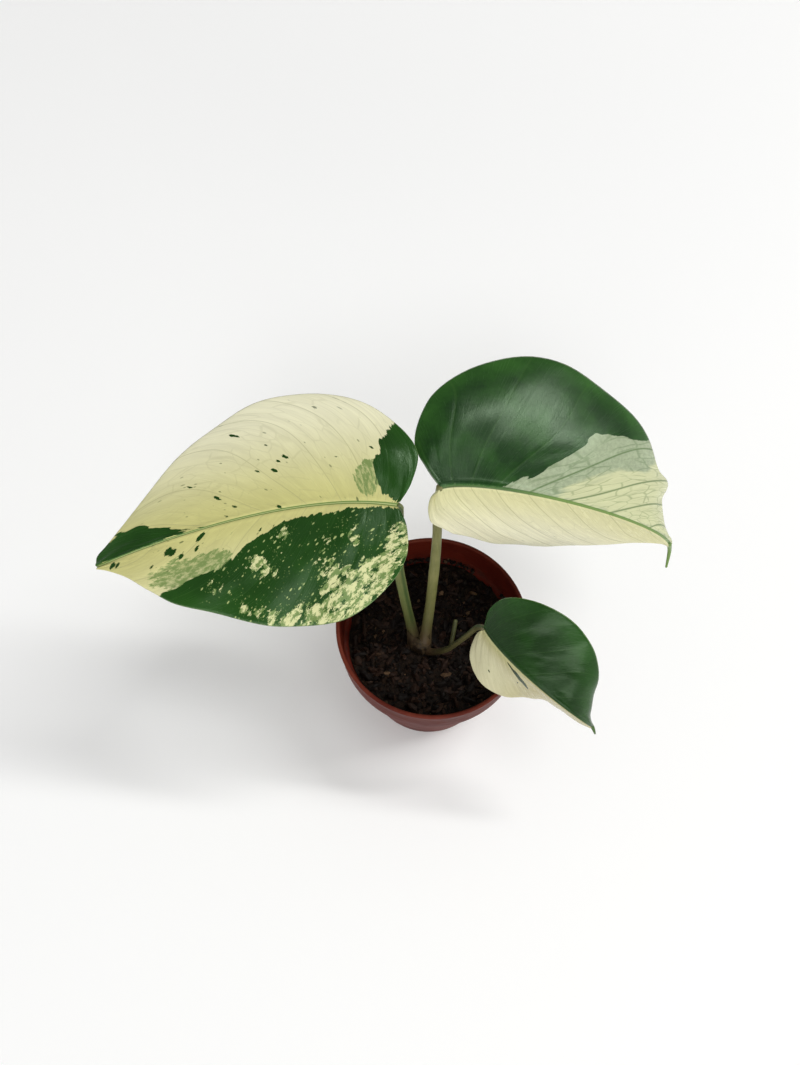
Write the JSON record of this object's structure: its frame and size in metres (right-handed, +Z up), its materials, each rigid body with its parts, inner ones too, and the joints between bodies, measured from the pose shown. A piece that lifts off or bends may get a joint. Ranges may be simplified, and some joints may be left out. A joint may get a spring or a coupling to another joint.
{
  "type": "potted jungle mint monstera",
  "caption": "Young variegated aroid with heart-shaped cream, mint and dark green leaves on bare petioles, standing in soil in a small round nursery pot.",
  "frame": {"origin": "centre of the flat underside of the pot", "axes": "+Z up along the pot's axis, +Y away from the viewer, +X to the viewer's right, from the large level leaf towards the arched one"},
  "size_m": [0.1627, 0.0875, 0.1205],
  "materials": {
    "pot": "terracotta-coloured plastic with a faint satin sheen, fine mould lines",
    "soil": "moist dark potting mix with bark crumbs",
    "stem": "reddish-brown sheathed stem, satin",
    "petiole": "smooth olive-green skin, satin",
    "leaf_cream": "cream leaf marbled with dark green, soft gloss",
    "leaf_green": "dark green leaf with cream and mint patches, waxy gloss"
  },
  "bodies": {
    "root": {"pot": "pot", "soil": "soil", "stem": "stem", "petiole_left": "petiole", "petiole_right": "petiole", "petiole_small": "petiole", "petiole_stub": "petiole", "leaf_left": "leaf_cream", "leaf_right": "leaf_green", "leaf_small": "leaf_green"}
  },
  "joints": []
}
